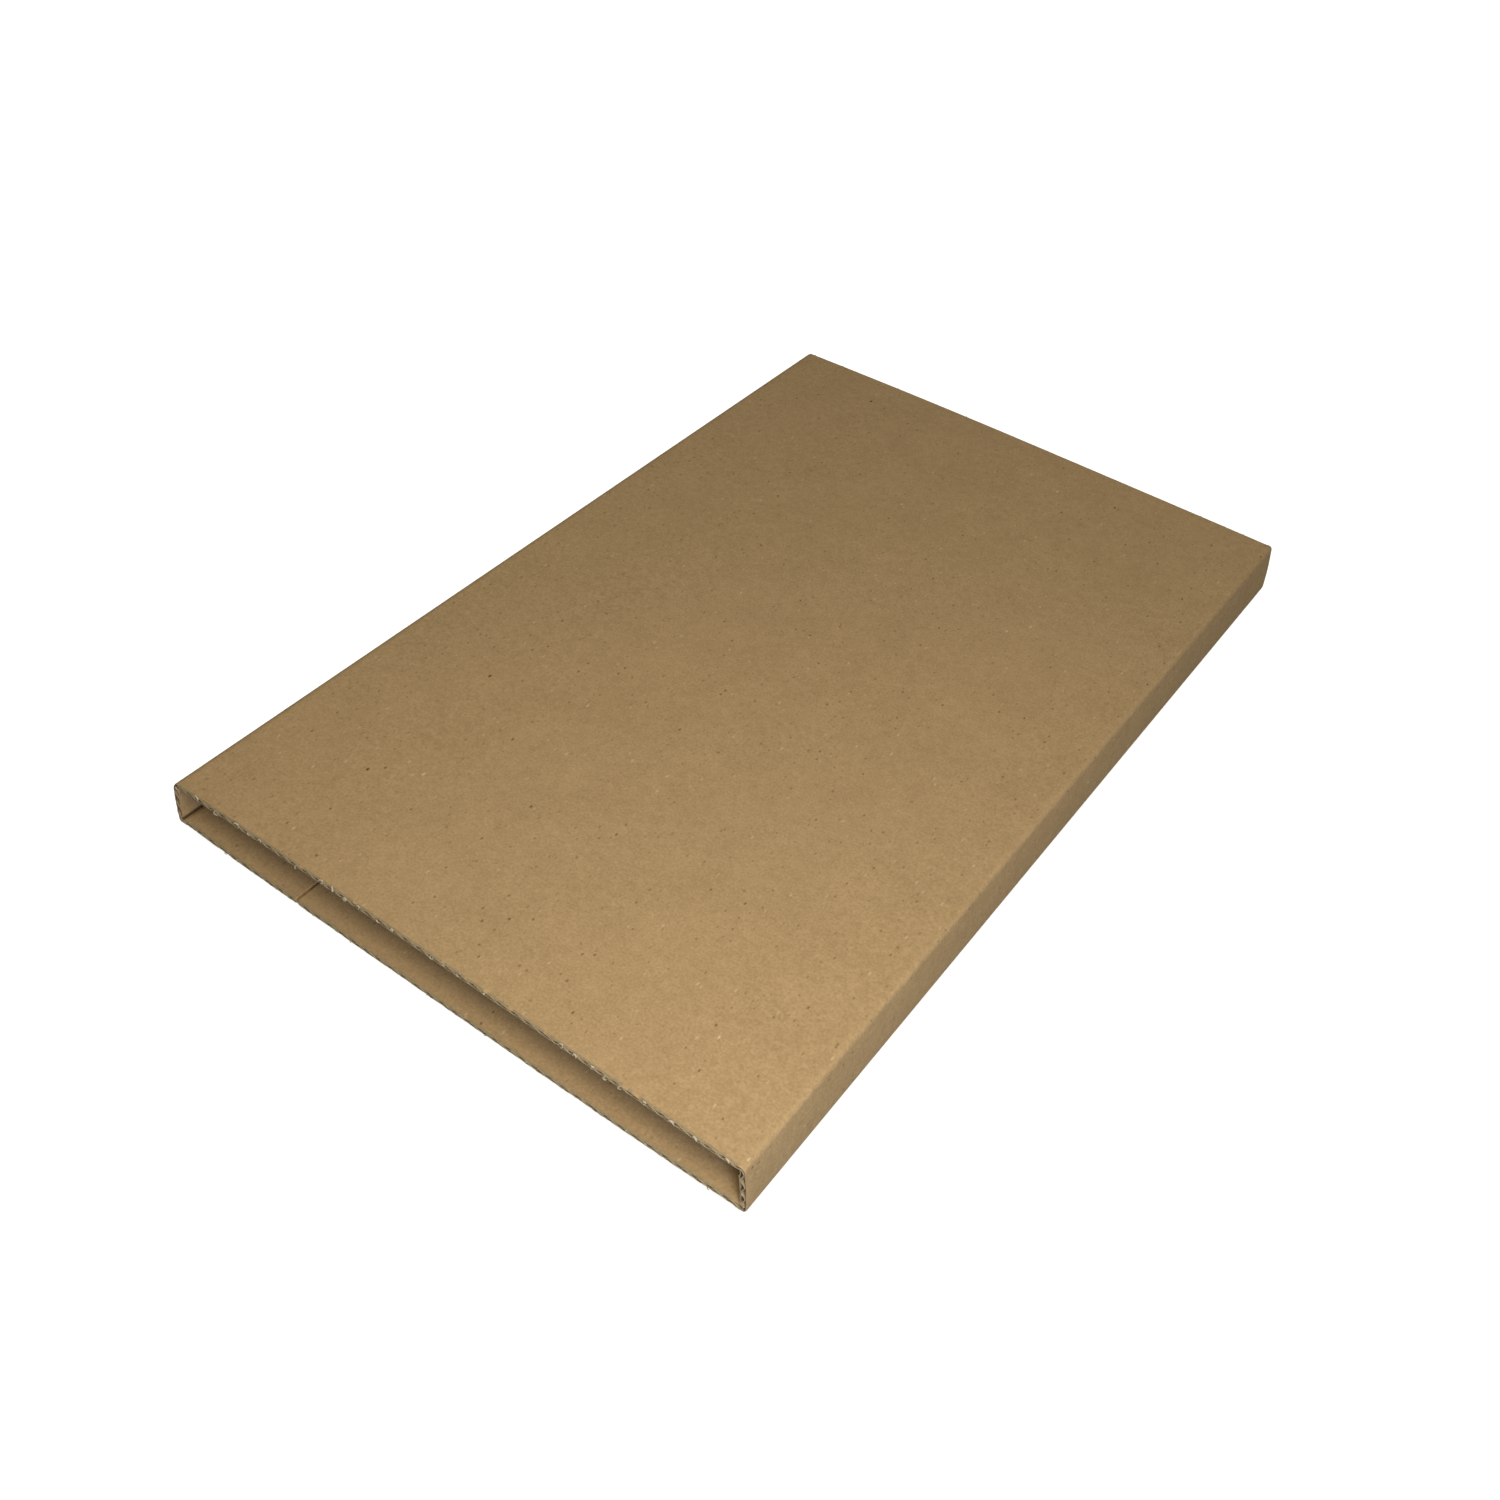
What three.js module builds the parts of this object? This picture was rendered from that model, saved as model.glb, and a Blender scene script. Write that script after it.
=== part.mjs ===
// Flat shipping sleeve of single-wall corrugated board, open at both short ends.
// One sheet is folded round four creases into a tube, and its two ends meet in a seam on the floor.
// Millimetres, +Z up. The flutes and the tube run along Y. The origin is under the middle of the base.

import * as THREE from "three";

// Tube, outside
const LENGTH = 430;
const TOP_WIDTH = 271;
const BASE_WIDTH = 276.5;
const WALL_HEIGHT = 23.2;

// The panels spring a little outwards between their folds
const TOP_CROWN = 1.9;
const BASE_SAG = 2.1;
const WALL_BULGE = 0.3;
// Part of the base's sag that is an even curve. The rest is a curl towards the folds.
const BASE_ROUNDNESS = 0.3;

// Board
const BOARD_THICKNESS = 2.8;
const LINER_THICKNESS = 0.3;
const MEDIUM_THICKNESS = 0.25;
const FLUTE_PITCH = 6.35;
const GLUE_LINE_WIDTH = 1.2;
const LINER_SAG = 0.04;

// Folds, measured on the inside of the bend
const TOP_FOLD_RADIUS = 1;
const BASE_FOLD_RADIUS = 1.2;

// Seam in the floor
const SEAM_FROM_LEFT = 66;
const SEAM_GROOVE_WIDTH = 1.8;
const SEAM_GROOVE_DEPTH = 0.7;

// Fineness of the curves
const FOLD_STEPS = 5;
const TOP_STEPS = 17;
const BASE_STEPS = 13;
const WALL_STEPS = 3;
const CHANNEL_STEPS = 5;

// Share of full outward bow at u, from -1 to 1 along a panel. The base is nearly flat but for its ends.
const evenBow = (u) => 1 - u ** 2;
const curledBow = (u) => 1 - BASE_ROUNDNESS * u ** 2 - (1 - BASE_ROUNDNESS) * u ** 4;

// The panels, as chords between the sharp outer corners. Seen from the front, the path runs clockwise:
// along the base to the left, up the left wall, along the top to the right and down the right wall.
// The flat middle strip of the base is the lowest, at z = 0.
const baseLevel = BASE_SAG * curledBow(1 / BASE_STEPS);
const topLevel = baseLevel + WALL_HEIGHT;
const baseRight = new THREE.Vector2(BASE_WIDTH / 2, baseLevel);
const baseLeft = new THREE.Vector2(-BASE_WIDTH / 2, baseLevel);
const topLeft = new THREE.Vector2(-TOP_WIDTH / 2, topLevel);
const topRight = new THREE.Vector2(TOP_WIDTH / 2, topLevel);

const base = {
  from: baseRight,
  to: baseLeft,
  bow: BASE_SAG,
  shape: curledBow,
  steps: BASE_STEPS,
  foldRadius: BASE_FOLD_RADIUS,
};
const leftWall = {
  from: baseLeft,
  to: topLeft,
  bow: WALL_BULGE,
  shape: evenBow,
  steps: WALL_STEPS,
  foldRadius: TOP_FOLD_RADIUS,
};
const top = {
  from: topLeft,
  to: topRight,
  bow: TOP_CROWN,
  shape: evenBow,
  steps: TOP_STEPS,
  foldRadius: TOP_FOLD_RADIUS,
};
const rightWall = {
  from: topRight,
  to: baseRight,
  bow: WALL_BULGE,
  shape: evenBow,
  steps: WALL_STEPS,
  foldRadius: BASE_FOLD_RADIUS,
};
const SIDES = [base, leftWall, top, rightWall];

// How far a fold reaches along the chords that it joins, from their sharp corner.
function foldReach(before, corner, after, innerRadius) {
  const a = before.clone().sub(corner).normalize();
  const b = after.clone().sub(corner).normalize();
  const half = Math.acos(a.dot(b)) / 2;
  return (innerRadius + BOARD_THICKNESS) / Math.tan(half);
}

// The board's path as a chain of panels and folds. Each piece places a point by its distance along the
// middle of the board and its depth below the outer face.
function makePanel(side, reachStart, reachEnd) {
  const along = side.to.clone().sub(side.from);
  const chord = along.length();
  along.normalize();
  const outward = new THREE.Vector2(-along.y, along.x);
  const start = side.from.clone().addScaledVector(along, reachStart);
  const length = chord - reachStart - reachEnd;
  const place = (s, depth) =>
    start
      .clone()
      .addScaledVector(along, s)
      .addScaledVector(outward, side.bow * side.shape((2 * s) / length - 1) - depth);
  const end = start.clone().addScaledVector(along, length);
  return { kind: "panel", length, place, steps: side.steps, outward, end };
}

function makeFold(panel, next, innerRadius) {
  const outerRadius = innerRadius + BOARD_THICKNESS;
  const middleRadius = innerRadius + BOARD_THICKNESS / 2;
  const centre = panel.end.clone().addScaledVector(panel.outward, -outerRadius);
  const angle = Math.acos(panel.outward.dot(next.outward));
  const place = (s, depth) =>
    panel.outward
      .clone()
      .rotateAround(new THREE.Vector2(), -s / middleRadius)
      .multiplyScalar(outerRadius - depth)
      .add(centre);
  return { kind: "fold", length: middleRadius * angle, place, steps: FOLD_STEPS };
}

function makePath() {
  const reaches = SIDES.map((side, i) => {
    const next = SIDES[(i + 1) % SIDES.length];
    return foldReach(side.from, side.to, next.to, side.foldRadius);
  });
  const panels = SIDES.map((side, i) => {
    const before = (i + SIDES.length - 1) % SIDES.length;
    return makePanel(side, reaches[before], reaches[i]);
  });
  const pieces = [];
  panels.forEach((panel, i) => {
    const next = panels[(i + 1) % panels.length];
    pieces.push(panel, makeFold(panel, next, SIDES[i].foldRadius));
  });
  let begin = 0;
  for (const piece of pieces) {
    piece.begin = begin;
    begin += piece.length;
  }
  return pieces;
}

const path = makePath();
const perimeter = path.reduce((sum, piece) => sum + piece.length, 0);
const basePanel = path[0];

// The seam, as a distance along the base panel.
const seamAt = basePanel.place(0, 0).x - (SEAM_FROM_LEFT - BASE_WIDTH / 2);

// Distances along a piece where the outline needs a point. Its end is the next piece's first point.
function stations(piece) {
  return Array.from({ length: piece.steps }, (_, i) => (piece.length * i) / piece.steps);
}

// A face's outline, notched to a shallow V where the sheet's ends meet.
function outline(depth, inwards) {
  const points = [];
  for (const piece of path) {
    const marks = stations(piece).map((s) => ({ s, depth }));
    if (piece === basePanel) {
      const notch = [
        { s: seamAt - SEAM_GROOVE_WIDTH / 2, depth },
        { s: seamAt, depth: depth + inwards * SEAM_GROOVE_DEPTH },
        { s: seamAt + SEAM_GROOVE_WIDTH / 2, depth },
      ];
      const clear = marks.filter((mark) => Math.abs(mark.s - seamAt) > SEAM_GROOVE_WIDTH);
      marks.splice(0, marks.length, ...clear, ...notch);
      marks.sort((a, b) => a.s - b.s);
    }
    points.push(...marks.map((mark) => piece.place(mark.s, mark.depth)));
  }
  return points;
}

// Depth of the fluted medium's face on the open side of a channel, at a distance from the channel's middle.
function mediumDepth(offset) {
  const swing = BOARD_THICKNESS / 2 - LINER_THICKNESS - MEDIUM_THICKNESS / 2;
  const phase = (2 * Math.PI * offset) / FLUTE_PITCH;
  const slope = ((2 * Math.PI * swing) / FLUTE_PITCH) * Math.sin(phase);
  return BOARD_THICKNESS / 2 + swing * Math.cos(phase) - (MEDIUM_THICKNESS / 2) * Math.hypot(1, slope);
}

// One channel between a liner and the medium. The flute tips on both sides of it are glued to that liner,
// which sags a little between them.
function channel(piece, middle, underOuterLiner) {
  const halfWidth = (FLUTE_PITCH - GLUE_LINE_WIDTH) / 2;
  const points = [];
  const add = (offset, depth) => {
    points.push(piece.place(middle + offset, underOuterLiner ? depth : BOARD_THICKNESS - depth));
  };
  add(-halfWidth, LINER_THICKNESS);
  for (let i = 1; i < CHANNEL_STEPS; i += 1) {
    const offset = halfWidth * ((2 * i) / CHANNEL_STEPS - 1);
    add(offset, mediumDepth(offset));
  }
  add(halfWidth, LINER_THICKNESS);
  add(0, LINER_THICKNESS + LINER_SAG);
  return new THREE.Path(points);
}

// Channels lie every half pitch, under one liner and the other in turn, from one end of the sheet to the
// other. Those that a fold or the seam would cut are crushed flat there.
function channels() {
  const holes = [];
  const step = FLUTE_PITCH / 2;
  const halfWidth = (FLUTE_PITCH - GLUE_LINE_WIDTH) / 2;
  const first = (SEAM_GROOVE_WIDTH + FLUTE_PITCH) / 2;
  for (let i = 0; first + i * step <= perimeter - first; i += 1) {
    const at = (seamAt + first + i * step) % perimeter;
    const piece = path.find((p) => at >= p.begin && at < p.begin + p.length);
    const middle = at - piece.begin;
    if (piece.kind === "panel" && middle > halfWidth && middle < piece.length - halfWidth) {
      holes.push(channel(piece, middle, i % 2 === 1));
    }
  }
  return holes;
}

function boardSection() {
  const section = new THREE.Shape(outline(0, 1).reverse());
  section.holes.push(new THREE.Path(outline(BOARD_THICKNESS, -1)), ...channels());
  return section;
}

function makeSleeve() {
  const geometry = new THREE.ExtrudeGeometry(boardSection(), {
    depth: LENGTH,
    steps: 1,
    bevelEnabled: false,
  });
  // The section is drawn in X and Z and pulled along Y, half to each side of the origin.
  geometry.rotateX(Math.PI / 2);
  geometry.translate(0, LENGTH / 2, 0);
  const kraftBoard = new THREE.MeshStandardMaterial({ color: 0xa5875c, roughness: 0.85, metalness: 0 });
  const mesh = new THREE.Mesh(geometry, kraftBoard);
  mesh.name = "corrugated_sleeve";
  return mesh;
}

const shippingSleeve = new THREE.Group();
shippingSleeve.name = "shipping_sleeve";
shippingSleeve.add(makeSleeve());

export default shippingSleeve;
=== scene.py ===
"""Flat shipping sleeve of single-wall corrugated board, open at both short ends, on a pale floor.

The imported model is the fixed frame. Each operator builds one piece of the board: the outer liner, the
fluted medium, the inner liner and the paper fibres that stand out of the two cut ends.
"""

import math
import random

import bmesh
import bpy
import mathutils.noise
from mathutils import Matrix, Vector


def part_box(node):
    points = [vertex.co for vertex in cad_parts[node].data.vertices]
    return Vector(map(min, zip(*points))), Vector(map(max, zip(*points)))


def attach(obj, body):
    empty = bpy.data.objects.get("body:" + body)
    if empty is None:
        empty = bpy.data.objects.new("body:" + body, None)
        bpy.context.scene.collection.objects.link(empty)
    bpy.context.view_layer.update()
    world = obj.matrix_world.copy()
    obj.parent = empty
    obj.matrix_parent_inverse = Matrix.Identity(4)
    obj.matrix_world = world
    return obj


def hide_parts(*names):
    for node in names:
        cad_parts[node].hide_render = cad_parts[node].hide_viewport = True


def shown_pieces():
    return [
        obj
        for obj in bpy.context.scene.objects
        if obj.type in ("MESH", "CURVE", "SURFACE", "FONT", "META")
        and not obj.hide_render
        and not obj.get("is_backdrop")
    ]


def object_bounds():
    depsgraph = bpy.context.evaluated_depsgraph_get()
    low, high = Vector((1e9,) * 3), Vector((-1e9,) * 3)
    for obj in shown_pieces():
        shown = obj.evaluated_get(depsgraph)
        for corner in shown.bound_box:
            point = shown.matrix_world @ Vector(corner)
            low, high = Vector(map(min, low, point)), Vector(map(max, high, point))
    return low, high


bl_info = {
    "name": "Corrugated shipping sleeve",
    "version": (1, 0, 0),
    "blender": (4, 5, 0),
    "location": "View3D > Sidebar > Sleeve",
    "description": "Builds a flat sleeve of corrugated board, piece by piece, and a plain studio around it",
    "category": "Add Mesh",
}

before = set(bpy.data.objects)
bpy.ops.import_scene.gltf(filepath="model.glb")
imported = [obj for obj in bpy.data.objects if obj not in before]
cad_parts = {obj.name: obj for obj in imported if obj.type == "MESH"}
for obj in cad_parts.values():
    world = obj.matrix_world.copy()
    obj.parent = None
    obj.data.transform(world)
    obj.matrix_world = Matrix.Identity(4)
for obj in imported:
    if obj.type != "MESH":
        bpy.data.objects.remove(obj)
CAD_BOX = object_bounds()

MM = 0.001
NODE = "corrugated_sleeve"
BODY = "root"
TINY = MM / 100
SMOOTH_ANGLE = math.radians(35)

# Section
BASE_ROUNDNESS = 0.3  # part of the base's sag that is an even curve; the rest curls towards the folds
GROOVE_STEEPNESS = 2.5  # a groove's sides against those of a plain V of the same width

# Meshes
LINER_STEP = 0.95 * MM
SEAM_SHARES = (0.12, 0.25, 0.38, 0.5, 0.6)  # closer columns beside the seam, as shares of its width
SEAM_MERGE = MM / 50
CRUSHED_ROW = 0.8 * MM  # rows at this distance and the next from a cut end
PLAIN_ROW = 4 * MM
MEDIUM_CRUSHED_ROW = 1.2 * MM
STEPS_PER_FLUTE = 14
CAGE_COLUMNS = 13
CUT_FACING = 0.6  # a face is a cut one where its normal turns at least this far along the tube

# Cut edges: length of each wave, and its share of the whole fray
SLOW_WAVE, SLOW_SHARE = 7 * MM, 0.45
QUICK_WAVE, QUICK_SHARE = 1.3 * MM, 0.65
FRAY_APART = 10 * MM  # how far apart in the noise two sheets' edges are read, for each step of the seed
WALL_CRUSH = 0.3  # the walls are cut cleaner than the panels

# Flutes at a fold: the share of their swing that is left there, and the crease widths it takes to come back
FOLD_SWING = 0.2
FOLD_RECOVERY = 1.2
FOLD_ROOM = 0.1 * MM

# Curled slivers of torn paper: lengths of the first block and of each step, in thicknesses, and the taper
CURL_WIDTH = 0.6 * MM
CURL_ROOT, CURL_STEP, CURL_TAPER = 1.6, 1.5, 0.93
END_FACING = 0.9

# Where they stand: the chance of one at a flute tip, and what its depth from the middle of the board, its
# shift along the edge and out of it (all in millimetres), its size, its lean and the number of pitches to
# the next tip are drawn from. Those on the near top edge are the largest.
CURL_SEED = 446
TOP_CHANCE, OTHER_CHANCE = 0.85, 0.5
TOP_DEPTH, OTHER_DEPTH = (-0.5, -0.1), (-0.5, 0.5)
CURL_SHIFT, CURL_OUT = (-0.5, 0.5), (0.0, 0.25)
NEAR_TOP_GROWTH, OTHER_GROWTH = (0.7, 1.25), (0.35, 0.6)
CURL_LEAN = (-0.4, 0.4)
CURL_PITCHES = (1.0, 1.0, 1.5, 2.0)
ON_TOP = 0.95  # a curl is on the top panel above this share of the walls' height

# Painted shade lines in the inner paper's creases and seam groove: where they begin and where they are full,
# and the share of light that the paper keeps there
SHADE_LINE_EDGE, SHADE_LINE_CORE = 1.2 * MM, 0.6 * MM
SHADE_LINE_TINT = (1, 0.95, 0.9)
CREASE_SHADE_KEEPS, SEAM_SHADE_KEEPS = 0.28, 0.72


def colour(hex_text):
    """An sRGB hex colour as linear red, green, blue and alpha."""
    parts = [int(hex_text[i : i + 2], 16) / 255 for i in (1, 3, 5)]
    linear = [c / 12.92 if c <= 0.04045 else ((c + 0.055) / 1.055) ** 2.4 for c in parts]
    return (*linear, 1.0)


def length_property(name, description, millimetres):
    """A length that the user sees in the scene's units."""
    return bpy.props.FloatProperty(
        name=name,
        description=description,
        default=millimetres * MM,
        min=0.0,
        unit="LENGTH",
        precision=5,
    )


def colour_property(name, description, hex_text):
    """A colour swatch whose default is an sRGB hex value."""
    return bpy.props.FloatVectorProperty(
        name=name,
        description=description,
        default=colour(hex_text),
        size=4,
        min=0.0,
        max=1.0,
        subtype="COLOR",
    )


class SleeveSizes(bpy.types.PropertyGroup):
    """Real sizes of the sleeve and its board."""

    low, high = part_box(NODE)
    length: length_property("Length", "Length of the tube, along the flutes", (high.y - low.y) / MM)
    top_width: length_property("Top width", "Outer width of the top panel", 271.0)
    base_width: length_property("Base width", "Outer width of the base panel", 275.8)
    wall_height: length_property("Wall height", "Height of the side walls between their folds", 23.2)
    top_crown: length_property("Top crown", "How far the top panel springs upwards", 1.87)
    base_sag: length_property("Base sag", "How far the base panel springs downwards", 2.09)
    wall_bulge: length_property("Wall bulge", "How far the walls spring outwards", 0.3)
    board: length_property("Board", "Thickness of the whole board", 2.8)
    liner: length_property("Liner", "Thickness of each flat paper", 0.3)
    medium: length_property("Medium", "Thickness of the fluted paper", 0.25)
    pitch: length_property("Flute pitch", "Distance from one flute tip to the next", 6.35)
    left_base_fold: length_property("Left base fold", "Outer radius of the fold at the base's left", 1.6)
    left_top_fold: length_property("Left top fold", "Outer radius of the fold at the top's left", 4.3)
    right_top_fold: length_property("Right top fold", "Outer radius of the crisp fold at the top right", 2.0)
    right_base_fold: length_property("Right base fold", "Outer radius of the fold at the base's right", 1.6)
    inner_fold: length_property("Inner fold", "Least radius of the inner paper at a fold", 0.6)
    crease_width: length_property("Crease width", "Width of the pressed line inside each fold", 2.2)
    crease_depth: length_property("Crease depth", "How far the inner paper is pressed into each fold", 1.3)
    seam_from_left: length_property("Seam", "Distance of the floor's seam from the left fold", 66.0)
    seam_width: length_property("Seam width", "Width of the groove where the sheet's ends meet", 1.7)
    seam_depth: length_property("Seam depth", "Depth of that groove", 0.95)
    cut_room: length_property("Cut room", "How far the cut edges stand back, for the fibres on them", 0.55)
    fray: length_property("Fray", "How far the cut edges wander", 0.3)
    crush: length_property("Crush", "How far the cutting die squeezes the board at its edges", 1.1)
    near_lift: length_property("Near lift", "How much higher the right side stands at the near end", 1.2)
    far_lift: length_property("Far lift", "How much higher the right side stands at the far end", 1.75)


class SleeveColours(bpy.types.PropertyGroup):
    """Colours of the board and the floor, as seen under a neutral light."""

    liner: colour_property("Liner", "Brown kraft paper of both flat faces", "#B09267")
    medium: colour_property("Medium", "Greyer paper of the flutes", "#A8926E")
    rim: colour_property("Cut rim", "Greyish cut face of the flat papers", "#9F8B67")
    flute_rim: colour_property("Flute rim", "Paler cut face of the fluted paper", "#BFB095")
    cut: colour_property("Torn fibre", "Pale torn fibre that curls out of the cut", "#C9BA9A")
    bark: colour_property("Dark fleck", "Bark and shive specks in the paper", "#5B4428")
    straw: colour_property("Pale fleck", "Bleached fibres in the paper", "#DCC9A0")
    floor: colour_property("Floor", "Pale studio floor", "#F4F4F2")


def even_bow(u):
    """Share of a panel's full outward bow at u, from -1 to 1 along it."""
    return 1 - u**2


def curled_bow(u):
    """The same for the base, which is nearly flat but for its ends."""
    return 1 - BASE_ROUNDNESS * u**2 - (1 - BASE_ROUNDNESS) * u**4


def steep(distance, width):
    """Share of full depth across a groove of this width, with steep sides and a flat bottom."""
    return min(1.0, max(0.0, GROOVE_STEEPNESS * (1 - 2 * distance / width)))


class Panel:
    """A straight stretch of one paper with its bow, placed by distance along it and depth below it."""

    def __init__(self, start, end, reach_start, reach_end, bow, shape):
        self.along = (end - start).normalized()
        self.outward = Vector((-self.along.y, self.along.x))
        self.start = start + self.along * reach_start
        self.length = (end - start).length - reach_start - reach_end
        self.end = self.start + self.along * self.length
        self.bow = bow
        self.shape = shape

    def place(self, s, depth):
        lift = self.bow * self.shape(2 * s / self.length - 1) - depth
        return self.start + self.along * s + self.outward * lift


class Fold:
    """The turn of one paper from a panel to the next."""

    def __init__(self, before, after, radius):
        self.radius = radius
        self.outward = before.outward
        self.centre = before.end - before.outward * radius
        self.length = radius * before.outward.angle(after.outward)

    def place(self, s, depth):
        turned = self.outward.copy()
        turned.rotate(Matrix.Rotation(-s / self.radius, 2))
        return self.centre + turned * (self.radius - depth)


class Section:
    """One paper's way round the tube at a depth in the board, with its own radius at each fold. It runs
    clockwise as seen from the front, starting at the right end of the base."""

    def __init__(self, sizes, level, least_radius):
        top_level = sizes.base_sag + sizes.wall_height
        outer = [
            Vector((sizes.base_width / 2, sizes.base_sag)),
            Vector((-sizes.base_width / 2, sizes.base_sag)),
            Vector((-sizes.top_width / 2, top_level)),
            Vector((sizes.top_width / 2, top_level)),
        ]
        count = len(outer)
        normals = []
        for i in range(count):
            along = (outer[(i + 1) % count] - outer[i]).normalized()
            normals.append(Vector((-along.y, along.x)))
        corners = []
        for i in range(count):
            before, after = normals[i - 1], normals[i]
            corners.append(outer[i] - (before + after) * (level / (1 + before.dot(after))))
        # Each panel's fold is the one at its end: the base's is at the left.
        folds = (sizes.left_base_fold, sizes.left_top_fold, sizes.right_top_fold, sizes.right_base_fold)
        radii = [max(fold - level, least_radius) for fold in folds]
        bows = [sizes.base_sag, sizes.wall_bulge, sizes.top_crown, sizes.wall_bulge]
        shapes = [curled_bow, even_bow, even_bow, even_bow]
        reaches = []
        for i in range(count):
            before, corner, after = (corners[(i + step) % count] for step in range(3))
            half = (before - corner).angle(after - corner) / 2
            reaches.append(radii[i] / math.tan(half))
        panels = []
        for i in range(count):
            start, end = corners[i], corners[(i + 1) % count]
            panels.append(Panel(start, end, reaches[i - 1], reaches[i], bows[i], shapes[i]))
        self.pieces = []
        for i, panel in enumerate(panels):
            self.pieces += [panel, Fold(panel, panels[(i + 1) % count], radii[i])]
        self.perimeter = sum(piece.length for piece in self.pieces)
        self.folds = []
        begin = 0.0
        for piece in self.pieces:
            if isinstance(piece, Fold):
                self.folds.append(begin + piece.length / 2)
            begin += piece.length
        self.seam = panels[0].start.x - (sizes.seam_from_left - sizes.base_width / 2)
        self.seam_width = sizes.seam_width

    def place(self, s, depth):
        """The point at a distance s round the tube from the seam, as x and z."""
        s = (s + self.seam) % self.perimeter
        for piece in self.pieces:
            if s < piece.length:
                return piece.place(s, depth)
            s -= piece.length
        return self.pieces[0].place(0, depth)

    def from_seam(self, s):
        """Distance to the seam, the shorter way round."""
        return min(s, self.perimeter - s)

    def notch(self, s):
        """How deep the seam's groove is at s, from 0 to 1."""
        return steep(self.from_seam(s), self.seam_width)

    def from_fold(self, s):
        """Distance to the middle of the nearest fold."""
        here = (s + self.seam) % self.perimeter
        return min(abs(here - fold) for fold in self.folds)


def deselect_all():
    if bpy.context.object and bpy.context.object.mode != "OBJECT":
        bpy.ops.object.mode_set(mode="OBJECT")
    bpy.ops.object.select_all(action="DESELECT")


def select_only(bm, chosen):
    """Selects these vertices of the mesh in edit mode and nothing else."""
    for v in bm.verts:
        v.select = False
    for v in chosen:
        v.select = True
    bm.select_flush_mode()


def wrapped_sheet(name, stations, rows, place, crushed):
    """Paper wrapped round the tube. A flat grid is added. In edit mode each row is moved to its place along
    the tube, and each column to its place round it, with its two ends where the die has crushed the board.
    The two edges that meet at the seam are then merged."""
    deselect_all()
    bpy.ops.mesh.primitive_grid_add(
        x_subdivisions=len(stations) - 1, y_subdivisions=len(rows) - 1, size=1, location=(0, 0, 0)
    )
    sheet = bpy.context.object
    sheet.name = name
    sheet.data.name = name
    bpy.ops.object.mode_set(mode="EDIT")
    bpy.ops.mesh.select_mode(type="VERT")
    bm = bmesh.from_edit_mesh(sheet.data)
    columns = [[] for _ in stations]
    lines = [[] for _ in rows]
    for v in bm.verts:
        columns[round((v.co.x + 0.5) * (len(stations) - 1))].append(v)
        lines[round((v.co.y + 0.5) * (len(rows) - 1))].append(v)
    for line, y in zip(lines, rows):
        select_only(bm, line)
        bpy.ops.transform.translate(value=(0, y - line[0].co.y, 0))
    bpy.ops.mesh.select_all(action="DESELECT")
    for column, s in zip(columns, stations):
        target = place(s)
        for v in column:
            v.select = True
        now = column[0].co
        bpy.ops.transform.translate(value=(target.x - now.x, 0, target.y - now.z))
        squeezed = crushed(s)
        for v in column:
            v.select = v in (column[0], column[-1])
        bpy.ops.transform.translate(value=(squeezed.x - target.x, 0, squeezed.y - target.y))
        for v in column:
            v.select = False
    bpy.ops.mesh.select_all(action="SELECT")
    bpy.ops.mesh.remove_doubles(threshold=SEAM_MERGE)
    bpy.ops.object.mode_set(mode="OBJECT")
    return sheet


def fray_ends(sheet, reach, seed):
    """The cut edges wander inwards, as a blunt die leaves them: slowly, and from fibre to fibre."""
    bpy.ops.object.mode_set(mode="EDIT")
    bm = bmesh.from_edit_mesh(sheet.data)
    end = max(v.co.y for v in bm.verts)
    edge = [v for v in bm.verts if abs(v.co.y) > end - TINY]
    bpy.ops.mesh.select_all(action="DESELECT")
    for v in edge:
        spot = Vector((v.co.x, v.co.z, math.copysign(seed * FRAY_APART, v.co.y)))
        slow = mathutils.noise.noise(spot / SLOW_WAVE)
        quick = mathutils.noise.noise(spot / QUICK_WAVE)
        share = min(1.0, max(0.0, 0.5 + SLOW_SHARE * slow + QUICK_SHARE * quick))
        v.select = True
        bpy.ops.transform.translate(value=(0, -math.copysign(reach * share, v.co.y), 0))
        v.select = False
    bpy.ops.object.mode_set(mode="OBJECT")


def paint_cut_faces(piece, material):
    """The faces that the die cut get this material, as the piece's second."""
    piece.data.materials.append(material)
    for face in piece.data.polygons:
        if abs(face.normal.y) > CUT_FACING:
            face.material_index = 1


def make_active(piece):
    """Selects this object and nothing else."""
    deselect_all()
    piece.select_set(True)
    bpy.context.view_layer.objects.active = piece


def apply_modifier(piece, kind, **settings):
    make_active(piece)
    modifier = piece.modifiers.new(kind.title(), kind)
    for key, value in settings.items():
        setattr(modifier, key, value)
    bpy.ops.object.modifier_apply(modifier=modifier.name)


def sprung(sizes, u, far):
    """How much higher the tube's top stands at u, from -1 at its left to 1 at its right."""
    return max(0.0, u) ** 2 * (sizes.far_lift if far else sizes.near_lift)


def spring(piece):
    """The tube has sprung a little out of square: its right side stands higher, most at the far end. A
    lattice round the frame's box is lifted there and applied to the piece."""
    sizes = bpy.context.scene.sleeve_sizes
    low, high = (Vector(corner) for corner in CAD_BOX)
    deselect_all()
    bpy.ops.object.add(type="LATTICE", location=(low + high) / 2)
    cage = bpy.context.object
    cage.scale = high - low
    cage.data.points_u, cage.data.points_v, cage.data.points_w = CAGE_COLUMNS, 2, 2
    for direction in ("u", "v", "w"):
        setattr(cage.data, "interpolation_type_" + direction, "KEY_LINEAR")
    for i, point in enumerate(cage.data.points):
        column, far, upper = i % CAGE_COLUMNS, i // CAGE_COLUMNS % 2, i // CAGE_COLUMNS // 2
        lift = sprung(sizes, 2 * column / (CAGE_COLUMNS - 1) - 1, far)
        point.co_deform.z += upper * lift / (high.z - low.z)
    bpy.context.view_layer.update()
    apply_modifier(piece, "LATTICE", object=cage)
    bpy.data.objects.remove(cage)


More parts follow.
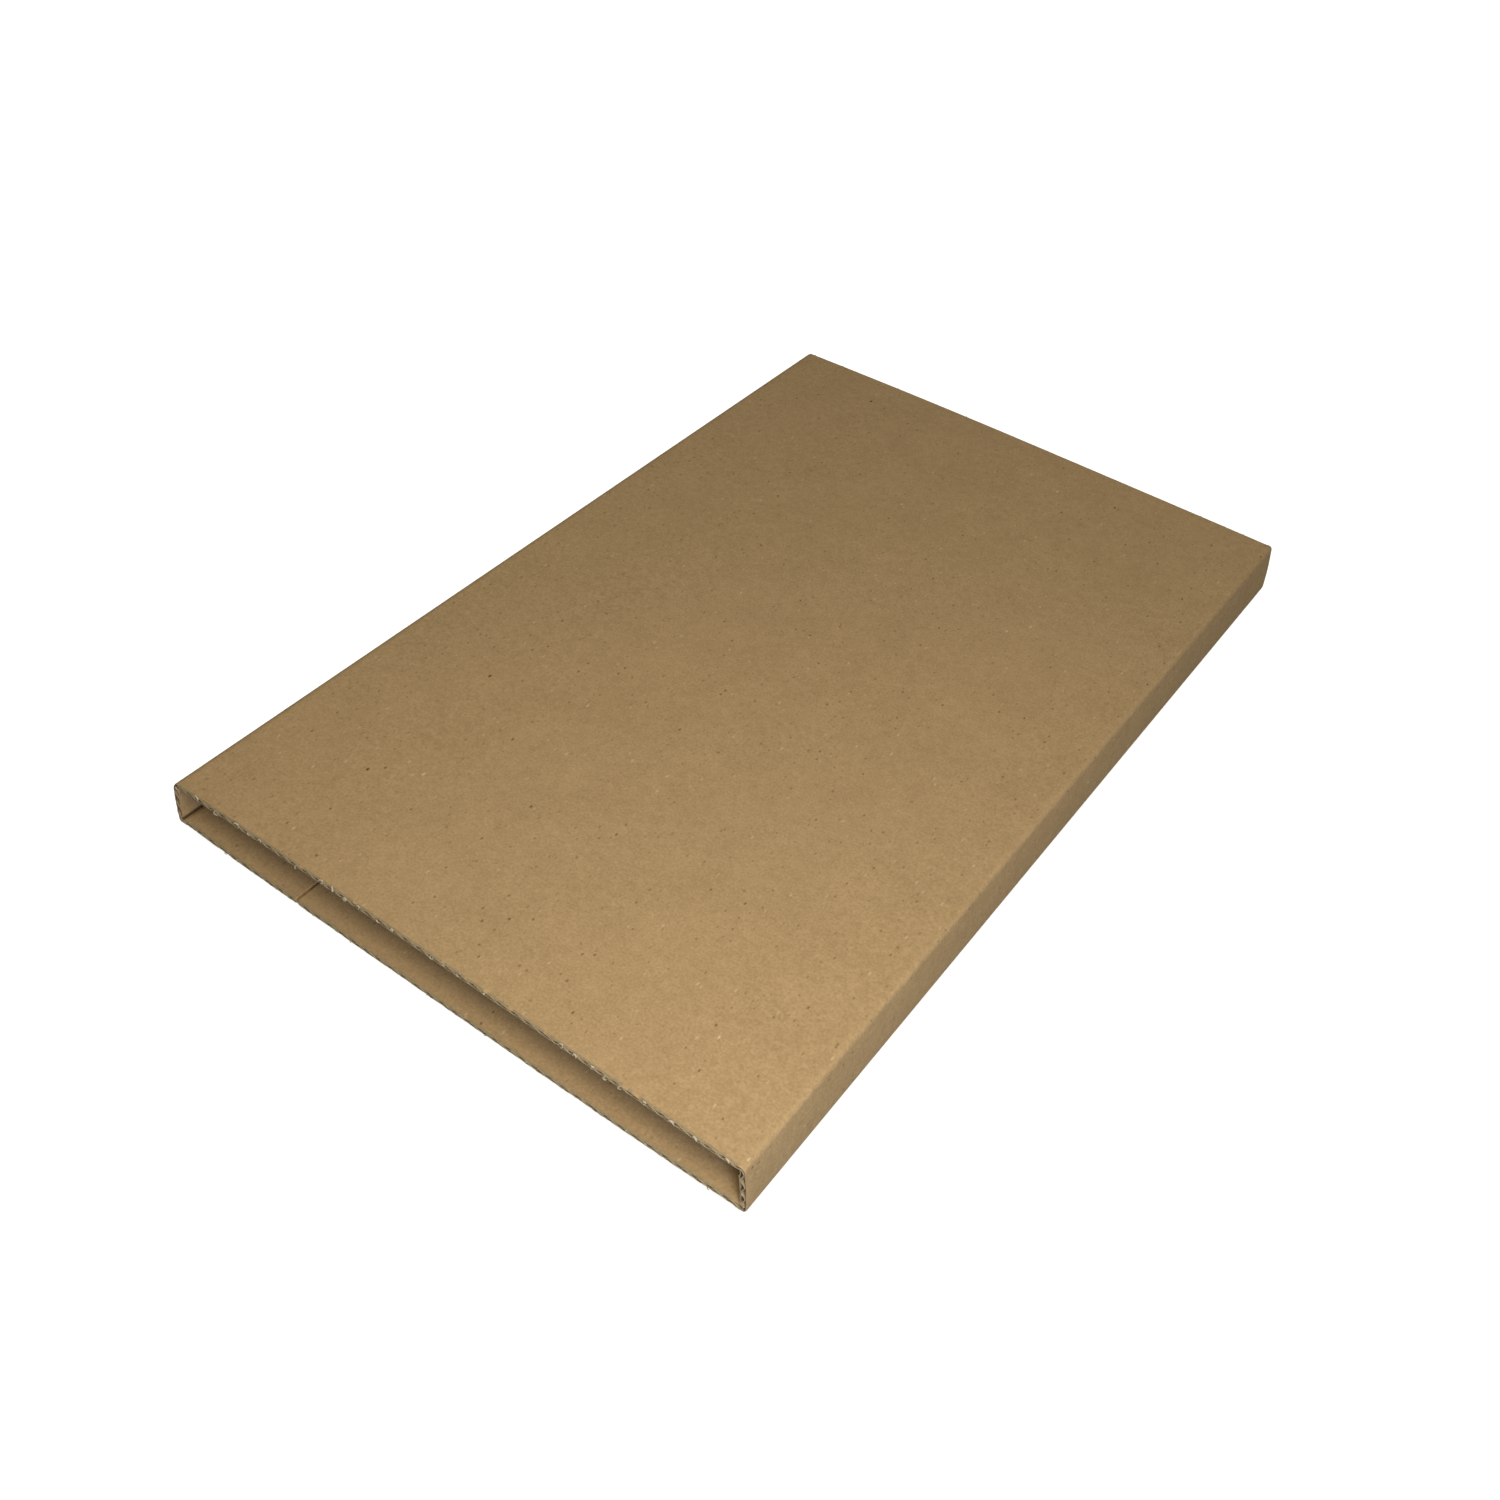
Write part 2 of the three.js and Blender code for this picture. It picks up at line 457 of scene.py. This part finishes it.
def finish_piece(piece, material):
    """Its spring out of square, smooth faces, its material, and its place in the frame."""
    spring(piece)
    make_active(piece)
    bpy.ops.object.transform_apply(location=True, rotation=True, scale=True)
    bpy.ops.object.shade_smooth_by_angle(angle=SMOOTH_ANGLE)
    piece.data.materials.clear()
    piece.data.materials.append(material)
    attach(piece, BODY)
    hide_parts(NODE)


def even_stations(length, step):
    """Distances from 0 to a length, as near to this step as fits it evenly."""
    count = round(length / step)
    return [length * i / count for i in range(count + 1)]


def stations_with_seam(section, step):
    """Even stations round the tube, with closer ones beside the seam for its narrow groove."""
    stations = even_stations(section.perimeter, step)
    close = [section.seam_width * share for share in SEAM_SHARES]
    last = section.perimeter
    kept = [s for s in stations if close[-1] < s < last - close[-1]]
    return [0.0, *close, *kept, *(last - c for c in reversed(close)), last]


def cut_end(sizes):
    """Distance of the cut ends from the middle of the tube."""
    return sizes.length / 2 - sizes.cut_room


def end_rows(sizes):
    """Rows along the tube, closer together at its cut ends."""
    end = cut_end(sizes)
    half = [end - PLAIN_ROW, end - CRUSHED_ROW, end]
    return [*(-y for y in reversed(half)), 0.0, *half]


# Materials. Constants go on the shader's own sockets, and every pattern lies on Object coordinates.

# Unevenness of the pulp: name, size of its features in millimetres, detail of the noise, and the darkest
# and lightest that it makes the paper.
GRAINS = (
    ("clouds", 22, 3.0, (0.96, 0.953, 0.943, 1), (1.04, 1.04, 1.037, 1)),
    ("mottle", 3.2, 4.0, (0.92, 0.912, 0.888, 1), (1.08, 1.084, 1.09, 1)),
    ("fine", 1.0, 3.0, (0.845, 0.845, 0.825, 1), (1.155, 1.155, 1.16, 1)),
)
GRAIN_RANGE = (0.27, 0.73)  # the noise seldom leaves it

# Bark specks and paler fibres, each in a cell of its own. Each row gives the size of the cells in
# millimetres, the scale along Y that draws them out, a turn that gives the row its own pattern, the share of
# cells without a speck, the speck's radius as a share of its cell, its colour, and its mean strength.
SPECKS = (
    (3.4, 0.62, 0.0, 0.5, 0.18, "bark", 0.36),
    (13.0, 0.7, 0.9, 0.6, 0.06, "bark", 0.6),
    (2.2, 0.5, 0.7, 0.5, 0.2, "bark", 0.28),
    (3.1, 0.42, 1.9, 0.5, 0.17, "straw", 0.24),
    (9.5, 0.5, 2.6, 0.65, 0.066, "straw", 0.45),
)
SPECK_CORE = 0.4  # part of the radius at full strength


def add_node(tree, kind, links=(), **settings):
    """Adds a node. Each setting is one of its own properties, or the value of the input of that name. Each
    link is a pair of an output socket and the name or number of the input that it feeds."""
    node = tree.nodes.new(kind)
    for key, value in settings.items():
        if hasattr(node, key):
            setattr(node, key, value)
        else:
            node.inputs[key.replace("_", " ")].default_value = value
    for source, target in links:
        tree.links.new(source, node.inputs[target])
    return node


def new_material(name, roughness, specular):
    """An empty material. Returns it, its tree, its shader and its Object coordinates."""
    material = bpy.data.materials.new(name)
    material.use_nodes = True
    tree = material.node_tree
    shader = tree.nodes["Principled BSDF"]
    shader.inputs["Roughness"].default_value = roughness
    shader.inputs["Specular IOR Level"].default_value = specular
    where = tree.nodes.new("ShaderNodeTexCoord").outputs["Object"]
    return material, tree, shader, where


def per_metre(millimetres):
    """A noise scale whose features are about this long."""
    return 1 / (millimetres * MM)


def blend_colour(tree, factor, a, b, mode="MIX"):
    """Mixes two colours, each a socket or a value, by a factor socket."""
    node = tree.nodes.new("ShaderNodeMix")
    node.data_type = "RGBA"
    node.blend_type = mode
    for value, number in ((factor, 0), (a, 6), (b, 7)):
        if hasattr(value, "links"):
            tree.links.new(value, node.inputs[number])
        else:
            node.inputs[number].default_value = value
    return node.outputs[2]


def shaded(tint, share):
    """A colour with this share of its light."""
    return (*(share * c for c in tint[:3]), 1)


def remapped(tree, source, low, high, to_low=0.0, to_high=1.0):
    """A value's range low to high, turned to another range and held inside it."""
    node = add_node(tree, "ShaderNodeMapRange", [(source, "Value")])
    for key, value in (("From Min", low), ("From Max", high), ("To Min", to_low), ("To Max", to_high)):
        node.inputs[key].default_value = value
    return node.outputs["Result"]


def noise(tree, where, millimetres, detail=2.0, rough=0.5):
    """Noise whose features are about this long."""
    node = add_node(tree, "ShaderNodeTexNoise", [(where, "Vector")], Detail=detail, Roughness=rough)
    node.inputs["Scale"].default_value = per_metre(millimetres)
    return node.outputs["Fac"]


def stretched(tree, where, scale, turn=0.0):
    """Object coordinates scaled down along some axes, so that a pattern is drawn out along them, and then
    turned about Z."""
    node = add_node(tree, "ShaderNodeMapping", [(where, "Vector")])
    node.inputs["Scale"].default_value = scale
    node.inputs["Rotation"].default_value = (0, 0, turn)
    return node.outputs["Vector"]


def paper_colour(tree, where, base, colours):
    """Kraft paper seen close: clouds where the pulp settled unevenly, a mottle, a fine grain, bark specks
    and pale fibres. Returns the colour, and the mottle for the bump."""
    out = base
    grains = {}
    for name, size, detail, low, high in GRAINS:
        grains[name] = noise(tree, where, size, detail, rough=0.6)
        shade = blend_colour(tree, remapped(tree, grains[name], *GRAIN_RANGE), low, high)
        out = blend_colour(tree, 1.0, out, shade, "MULTIPLY")
    for size, drawn, turn, empty, reach, tint, strength in SPECKS:
        place = stretched(tree, where, (1.0, drawn, 1.0), turn)
        cells = add_node(tree, "ShaderNodeTexVoronoi", [(place, "Vector")], feature="F1", Randomness=1.0)
        cells.inputs["Scale"].default_value = per_metre(size)
        # Only some of the cells hold a speck, and each is a little different in strength.
        held = add_node(tree, "ShaderNodeSeparateColor", [(cells.outputs["Color"], 0)])
        chosen = remapped(tree, held.outputs[0], empty, 1.0)
        speck = remapped(tree, cells.outputs["Distance"], reach, reach * SPECK_CORE)
        both = add_node(tree, "ShaderNodeMath", [(chosen, 0), (speck, 1)], operation="MULTIPLY")
        factor = add_node(
            tree, "ShaderNodeMath", [(both.outputs[0], 0)], operation="MULTIPLY", use_clamp=True
        )
        # The chosen cells' own strengths run from 0 to 1, so their mean is a half.
        factor.inputs[1].default_value = 2 * strength
        out = blend_colour(tree, factor.outputs[0], out, tuple(getattr(colours, tint)))
    return out, grains["mottle"]


def add_bump(tree, shader, height, strength, millimetres):
    """Roughens the shader's surface by a height from 0 to 1 that stands for this real depth."""
    bump = add_node(tree, "ShaderNodeBump", [(height, "Height")], Strength=strength)
    bump.inputs["Distance"].default_value = millimetres * MM
    tree.links.new(bump.outputs["Normal"], shader.inputs["Normal"])


def with_painted_line_shade(tree, where, out, lines):
    """Paints shade on narrow lines along the tube, in the pressed creases at the folds and in the groove
    where the sheet's
    ends meet: painted shade, not a mark in the paper. Each line is its place as x and z, and the share of
    the paper's light that it keeps."""
    flat = stretched(tree, where, (1.0, 0.0, 1.0))
    for spot, kept in lines:
        away = add_node(tree, "ShaderNodeVectorMath", [(flat, 0)], operation="DISTANCE")
        away.inputs[1].default_value = (spot.x, 0, spot.y)
        near = remapped(tree, away.outputs["Value"], SHADE_LINE_EDGE, SHADE_LINE_CORE)
        out = blend_colour(tree, near, out, (*(kept * c for c in SHADE_LINE_TINT), 1), "MULTIPLY")
    return out


def kraft_liner(name, base, colours, lines):
    """Brown kraft testliner, machine finished and uncoated: matt, slightly fuzzy, with flecks of bark."""
    material, tree, shader, where = new_material(name, roughness=0.88, specular=0.22)
    out, mottle = paper_colour(tree, where, tuple(base), colours)
    # Painted shade along the inner paper's creases and its seam groove
    out = with_painted_line_shade(tree, where, out, lines)
    tree.links.new(out, shader.inputs["Base Color"])
    # Fibres lie mostly along the paper machine, across the flutes.
    machine = stretched(tree, where, (0.35, 1.0, 1.0))
    fibres = noise(tree, machine, millimetres=0.5, detail=3.0, rough=0.6)
    both = add_node(tree, "ShaderNodeMath", [(fibres, 0), (mottle, 1)], operation="ADD")
    add_bump(tree, shader, both.outputs[0], strength=0.35, millimetres=0.05)
    return material


def fluting_medium(name, colours):
    """Semi-chemical fluting paper: greyer, rougher and darker than the liners."""
    material, tree, shader, where = new_material(name, roughness=0.93, specular=0.18)
    out, mottle = paper_colour(tree, where, tuple(colours.medium), colours)
    tree.links.new(out, shader.inputs["Base Color"])
    add_bump(tree, shader, mottle, strength=0.5, millimetres=0.08)
    return material


def torn_fibre(name, tint):
    """Torn paper fibre at a die-cut edge: greyer and fluffier than the sheet, because its calendered skin is
    broken there. It is mottled between this colour and a shade of it."""
    material, tree, shader, where = new_material(name, roughness=0.95, specular=0.15)
    tone = noise(tree, where, millimetres=0.9, detail=3.0)
    factor = remapped(tree, tone, low=0.35, high=0.65)
    out = blend_colour(tree, factor, shaded(tint, 0.78), tuple(tint))
    tree.links.new(out, shader.inputs["Base Color"])
    add_bump(tree, shader, tone, strength=0.5, millimetres=0.08)
    return material


# Pieces


def squeeze(sizes, section, s):
    """How far each face of the board is pressed in at a cut end."""
    on_wall = abs(section.place(s, 0).x) > sizes.top_width / 2 - sizes.board
    return sizes.crush / 2 * (WALL_CRUSH if on_wall else 1.0)


def build_liner(context, name, level, inwards, crease, seed):
    """One flat paper of the board, on the outer or the inner face, at its level below the outer face. The
    seam's groove, the pressed lines at the folds and the crush at the cut ends go into the board from that
    face: inwards is 1 for the outer paper and -1 for the inner one."""
    sizes, colours = context.scene.sleeve_sizes, context.scene.sleeve_colours
    section = Section(sizes, level, sizes.inner_fold)

    def dip(s):
        at_fold = steep(section.from_fold(s), sizes.crease_width)
        return sizes.seam_depth * section.notch(s) + crease * at_fold

    sheet = wrapped_sheet(
        name,
        stations_with_seam(section, LINER_STEP),
        end_rows(sizes),
        lambda s: section.place(s, inwards * dip(s)),
        lambda s: section.place(s, inwards * (dip(s) + squeeze(sizes, section, s))),
    )
    fray_ends(sheet, sizes.fray, seed)
    apply_modifier(sheet, "SOLIDIFY", thickness=sizes.liner, offset=-inwards, use_even_offset=True)
    lines = []
    # The inner paper gets painted shade along its creases and its seam groove, over the real grooves pressed
    # into its shape
    if inwards < 0:
        lines = [(section.place(fold - section.seam, -crease), CREASE_SHADE_KEEPS) for fold in section.folds]
        lines.append((section.place(0, -sizes.seam_depth), SEAM_SHADE_KEEPS))
    finish_piece(sheet, kraft_liner("kraft_testliner_" + name, colours.liner, colours, lines))
    paint_cut_faces(sheet, torn_fibre("cut_kraft_" + name, colours.rim))


class SLEEVE_OT_outer_liner(bpy.types.Operator):
    """Builds the paper of the outer face, folded round the tube"""

    bl_idname = "sleeve.outer_liner"
    bl_label = "Outer liner"

    def execute(self, context):
        build_liner(context, "outer_liner", level=0.0, inwards=1, crease=0.0, seed=11)
        return {"FINISHED"}


class SLEEVE_OT_inner_liner(bpy.types.Operator):
    """Builds the paper of the inner face, folded round the tube and pressed in at its creases"""

    bl_idname = "sleeve.inner_liner"
    bl_label = "Inner liner"

    def execute(self, context):
        sizes = context.scene.sleeve_sizes
        build_liner(
            context, "inner_liner", level=sizes.board, inwards=-1, crease=sizes.crease_depth, seed=23
        )
        return {"FINISHED"}


def medium_section(sizes):
    """The middle of the board, with room at each fold for the flutes to pass between the liners."""
    return Section(sizes, sizes.board / 2, sizes.board / 2 + FOLD_ROOM)


def first_tip(sizes):
    """Distance from the seam to the first flute tip."""
    return (sizes.seam_width + sizes.pitch) / 2


def flute_swing(sizes, section, s, reach):
    """Distance of the fluted paper below the middle of the board. The seam and the folds press the flutes
    flat, and the folds also press them outwards."""
    first = first_tip(sizes)
    by_seam = min(1.0, section.from_seam(s) / first)
    by_fold = min(1.0, FOLD_SWING + section.from_fold(s) / (sizes.crease_width * FOLD_RECOVERY))
    pressed = sizes.crease_depth / 2 * max(0.0, 1 - section.from_fold(s) / sizes.crease_width)
    wave = math.cos(2 * math.pi * (s - first) / sizes.pitch)
    return -reach * by_seam * by_fold * wave - pressed


class SLEEVE_OT_fluted_medium(bpy.types.Operator):
    """Builds the fluted paper between the two liners"""

    bl_idname = "sleeve.fluted_medium"
    bl_label = "Fluted medium"

    def execute(self, context):
        sizes, colours = context.scene.sleeve_sizes, context.scene.sleeve_colours
        section = medium_section(sizes)
        swing = sizes.board / 2 - sizes.liner - sizes.medium / 2
        end = cut_end(sizes)
        plain = end - MEDIUM_CRUSHED_ROW

        def crushed(s):
            return section.place(s, flute_swing(sizes, section, s, swing - squeeze(sizes, section, s)))

        sheet = wrapped_sheet(
            "fluted_medium",
            even_stations(section.perimeter, sizes.pitch / STEPS_PER_FLUTE),
            [-end, -plain, plain, end],
            lambda s: section.place(s, flute_swing(sizes, section, s, swing)),
            crushed,
        )
        fray_ends(sheet, reach=sizes.fray / 2, seed=37)
        apply_modifier(sheet, "SOLIDIFY", thickness=sizes.medium, offset=0, use_even_offset=True)
        finish_piece(sheet, fluting_medium("fluting_paper", colours))
        paint_cut_faces(sheet, torn_fibre("cut_fluting", colours.flute_rim))
        return {"FINISHED"}


def add_curl(name, thickness, turn, steps):
    """One curled sliver of paper: a small block is added, and its end face is extruded and turned, again
    and again, thinner each time."""
    deselect_all()
    root = (thickness * CURL_ROOT, CURL_WIDTH, thickness)
    bpy.ops.mesh.primitive_cube_add(size=1, location=(0, 0, 0), scale=root)
    curl = bpy.context.object
    curl.name = name
    bpy.ops.object.transform_apply(location=True, rotation=True, scale=True)
    bpy.ops.object.mode_set(mode="EDIT")
    bpy.ops.mesh.select_mode(type="FACE")
    bm = bmesh.from_edit_mesh(curl.data)
    for face in bm.faces:
        face.select = face.normal.x > END_FACING
    bm.select_flush_mode()
    heading = 0.0
    for step in range(steps):
        heading += turn / steps
        move = Vector((math.cos(heading), 0, math.sin(heading))) * (thickness * CURL_STEP)
        bpy.ops.mesh.extrude_region_move(TRANSFORM_OT_translate={"value": move})
        bm = bmesh.from_edit_mesh(curl.data)
        chosen = [v.co for v in bm.verts if v.select]
        centre = sum(chosen, Vector()) / len(chosen)
        bpy.ops.transform.rotate(value=turn / steps, orient_axis="Y", center_override=centre)
        bpy.ops.transform.resize(value=(CURL_TAPER,) * 3, center_override=centre)
    bpy.ops.mesh.select_all(action="SELECT")
    bpy.ops.mesh.normals_make_consistent(inside=False)
    bpy.ops.object.mode_set(mode="OBJECT")
    return curl


def copy_of(piece, place, turns, scale):
    """A copy with its own mesh, moved, turned and scaled."""
    make_active(piece)
    bpy.ops.object.duplicate(linked=False)
    copy = bpy.context.object
    copy.location = place
    copy.rotation_euler = turns
    copy.scale = scale
    return copy


def kept_inside(piece, sizes):
    """Moves a piece back to where it lies inside the frame's box, with room above it for its spring."""
    bpy.context.view_layer.update()
    low, high = (Vector(corner) for corner in CAD_BOX)
    high.z -= sprung(sizes, piece.location.x / high.x, piece.location.y > 0)
    spots = [piece.matrix_world @ v.co for v in piece.data.vertices]
    for axis in range(3):
        under = low[axis] + TINY - min(spot[axis] for spot in spots)
        over = max(spot[axis] for spot in spots) + TINY - high[axis]
        piece.location[axis] += max(0.0, under) - max(0.0, over)
    return piece


def place_curl(draw, curls, sizes, section, s, side, on_top):
    """Copies a curl to a cut end, near the distance s round the tube. The side is -1 at the near end."""
    depth = draw.uniform(*(TOP_DEPTH if on_top else OTHER_DEPTH)) * MM
    spot = section.place(s + draw.uniform(*CURL_SHIFT) * MM, depth)
    grown = draw.uniform(*(NEAR_TOP_GROWTH if on_top and side < 0 else OTHER_GROWTH))
    curl = draw.choice(curls)
    y = side * (cut_end(sizes) + draw.uniform(*CURL_OUT) * MM)
    turns = (draw.uniform(*CURL_LEAN), draw.uniform(-math.pi, math.pi), draw.uniform(*CURL_LEAN))
    copy = copy_of(curl, (spot.x, y, spot.y), turns, (grown, min(grown, 1.0), grown))
    return kept_inside(copy, sizes)


class SLEEVE_OT_cut_fibres(bpy.types.Operator):
    """Builds the pale torn fibres that curl out of both cut ends, mostly at the flute tips"""

    bl_idname = "sleeve.cut_fibres"
    bl_label = "Cut fibres"

    def execute(self, context):
        sizes, colours = context.scene.sleeve_sizes, context.scene.sleeve_colours
        draw = random.Random(CURL_SEED)
        section = medium_section(sizes)
        first = first_tip(sizes)
        curls = [
            add_curl("curl_tight", thickness=0.3 * MM, turn=math.radians(235), steps=7),
            add_curl("curl_open", thickness=0.32 * MM, turn=math.radians(140), steps=5),
        ]
        copies = []
        for side in (-1, 1):
            s = first
            while s < section.perimeter - first:
                on_top = section.place(s, 0).y > sizes.wall_height * ON_TOP
                if draw.random() < (TOP_CHANCE if on_top else OTHER_CHANCE):
                    copies.append(place_curl(draw, curls, sizes, section, s, side, on_top))
                s += sizes.pitch * draw.choice(CURL_PITCHES)
        for curl in curls:
            bpy.data.objects.remove(curl)
        deselect_all()
        for copy in copies:
            copy.select_set(True)
        bpy.context.view_layer.objects.active = copies[0]
        bpy.ops.object.join()
        fibres = bpy.context.object
        fibres.name = "cut_fibres"
        fibres.data.name = "cut_fibres"
        finish_piece(fibres, torn_fibre("torn_fibre_curls", colours.cut))
        return {"FINISHED"}


# Stage, in metres and watts

FLOOR = "studio_floor"
FLOOR_SIZE = 40
FLOOR_DROP = 0.05 * MM

# The world's light by the height of its direction, and what the camera sees above that
WORLD_COLOUR = "#F6F5F1"
SKY_HEIGHTS = (-0.15, 0.55)
SKY_STRENGTHS = (0.08, 0.42)
SEEN_EXTRA = 0.55
WASH_STRENGTH = 3.15
WASH_ANGLE = math.radians(60)

# Where the camera stands in the frame, and how it is turned
CAMERA_PLACE = (0.27029, -0.44462, 0.46658)
CAMERA_RIGHT = (0.80658, 0.587627, 0.064215)
CAMERA_DOWN = (0.44684, -0.534979, -0.71703)
CAMERA_FORWARD = (-0.386993, 0.607036, -0.694078)
FOCAL_MM = 37.974
SENSOR_MM = 36
CLIP_START = 0.01


class SLEEVE_OT_stage(bpy.types.Operator):
    """Sets up the pale floor, the soft studio light and the camera"""

    bl_idname = "sleeve.stage"
    bl_label = "Stage"

    def execute(self, context):
        scene = context.scene
        add_floor(scene.sleeve_colours)
        add_lights(scene)
        add_camera(scene)
        scene.view_settings.view_transform = "Standard"
        return {"FINISHED"}


def add_floor(colours):
    """Matt painted floor, just under the sleeve. No light comes back from it onto the sleeve."""
    deselect_all()
    bpy.ops.mesh.primitive_plane_add(size=FLOOR_SIZE, location=(0, 0, -FLOOR_DROP))
    floor = bpy.context.object
    floor.name = FLOOR
    material, tree, shader, where = new_material("matt_painted_floor", roughness=0.9, specular=0.1)
    tone = noise(tree, where, millimetres=300)
    out = blend_colour(tree, tone, shaded(colours.floor, 0.985), tuple(colours.floor))
    tree.links.new(out, shader.inputs["Base Color"])
    floor.data.materials.append(material)
    floor.visible_diffuse = False
    floor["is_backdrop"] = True


def aim(thing, target):
    """Points an object's own -Z axis at a place."""
    thing.rotation_euler = (Vector(target) - thing.location).to_track_quat("-Z", "Y").to_euler()


def add_area(name, place, target, size, power, hex_text):
    """A round lamp that the camera doesn't see."""
    light = bpy.data.lights.new(name, "AREA")
    light.shape = "DISK"
    light.size = size
    light.energy = power
    light.color = colour(hex_text)[:3]
    lamp = bpy.data.objects.new(name, light)
    bpy.context.scene.collection.objects.link(lamp)
    lamp.location = place
    lamp.visible_camera = False
    aim(lamp, target)
    return lamp


def lit_only(lamp, pieces, name):
    """The lamp lights only these objects."""
    group = bpy.data.collections.new(name)
    for piece in pieces:
        group.objects.link(piece)
    lamp.light_linking.receiver_collection = group


def add_world(scene):
    """The light comes from above, and little of it comes back from below. The camera sees a pale wall."""
    world = scene.world or bpy.data.worlds.new("studio")
    scene.world = world
    world.use_nodes = True
    tree = world.node_tree
    background = tree.nodes["Background"]
    background.inputs["Color"].default_value = colour(WORLD_COLOUR)
    where = add_node(tree, "ShaderNodeTexCoord").outputs["Generated"]
    height = add_node(tree, "ShaderNodeSeparateXYZ", [(where, 0)]).outputs["Z"]
    strength = remapped(tree, height, *SKY_HEIGHTS, *SKY_STRENGTHS)
    seen = add_node(tree, "ShaderNodeLightPath").outputs["Is Camera Ray"]
    shown = add_node(tree, "ShaderNodeMath", [(seen, 0), (strength, 2)], operation="MULTIPLY_ADD")
    shown.inputs[1].default_value = SEEN_EXTRA
    tree.links.new(shown.outputs[0], background.inputs["Strength"])


def add_lights(scene):
    """A warm key and a cool side fill on the sleeve alone, and a wash that lights the floor alone."""
    add_world(scene)
    sleeve = list(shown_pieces())
    floor = [bpy.data.objects[FLOOR]]
    key = add_area(
        "key",
        place=(0.265, -0.34, 0.415),
        target=(0.02, -0.06, 0.02),
        size=0.2,
        power=1.5,
        hex_text="#FFF9F0",
    )
    fill = add_area(
        "side_fill",
        place=(0.5, -0.52, 0.22),
        target=(0.13, -0.1, 0.015),
        size=0.22,
        power=1.75,
        hex_text="#D3E2FF",
    )
    lit_only(key, sleeve, "lit_by_key")
    lit_only(fill, sleeve, "lit_by_fill")
    sun = bpy.data.lights.new("floor_wash", "SUN")
    sun.energy = WASH_STRENGTH
    sun.angle = WASH_ANGLE
    wash = bpy.data.objects.new("floor_wash", sun)
    scene.collection.objects.link(wash)
    lit_only(wash, floor, "lit_by_wash")
    wash.light_linking.blocker_collection = bpy.data.collections["lit_by_wash"]


def add_camera(scene):
    """The photograph's camera, fitted to the sleeve's outline."""
    camera = bpy.data.objects.new("camera", bpy.data.cameras.new("camera"))
    scene.collection.objects.link(camera)
    camera.data.lens = FOCAL_MM
    camera.data.sensor_width = SENSOR_MM
    camera.data.clip_start = CLIP_START
    right, down, forward = (Vector(v) for v in (CAMERA_RIGHT, CAMERA_DOWN, CAMERA_FORWARD))
    turn = Matrix((right, -down, -forward)).transposed()
    camera.matrix_world = Matrix.Translation(CAMERA_PLACE) @ turn.to_4x4()
    scene.camera = camera


class SLEEVE_PT_panel(bpy.types.Panel):
    """Lists the sleeve's sizes, colours and building steps"""

    bl_label = "Sleeve"
    bl_idname = "SLEEVE_PT_panel"
    bl_space_type = "VIEW_3D"
    bl_region_type = "UI"
    bl_category = "Sleeve"

    def draw(self, context):
        scene = context.scene
        for group in (scene.sleeve_sizes, scene.sleeve_colours):
            box = self.layout.box()
            for key in group.__annotations__:
                box.prop(group, key)
        for step in STEPS:
            self.layout.operator(step.bl_idname)


STEPS = (
    SLEEVE_OT_outer_liner,
    SLEEVE_OT_inner_liner,
    SLEEVE_OT_fluted_medium,
    SLEEVE_OT_cut_fibres,
    SLEEVE_OT_stage,
)
CLASSES = (SleeveSizes, SleeveColours, *STEPS, SLEEVE_PT_panel)


def register():
    for made in CLASSES:
        bpy.utils.register_class(made)
    bpy.types.Scene.sleeve_sizes = bpy.props.PointerProperty(type=SleeveSizes)
    bpy.types.Scene.sleeve_colours = bpy.props.PointerProperty(type=SleeveColours)


def unregister():
    del bpy.types.Scene.sleeve_colours
    del bpy.types.Scene.sleeve_sizes
    for made in reversed(CLASSES):
        bpy.utils.unregister_class(made)


def main():
    register()
    bpy.ops.sleeve.outer_liner()
    bpy.ops.sleeve.inner_liner()
    bpy.ops.sleeve.fluted_medium()
    bpy.ops.sleeve.cut_fibres()
    bpy.ops.sleeve.stage()


if __name__ == "__main__":
    main()
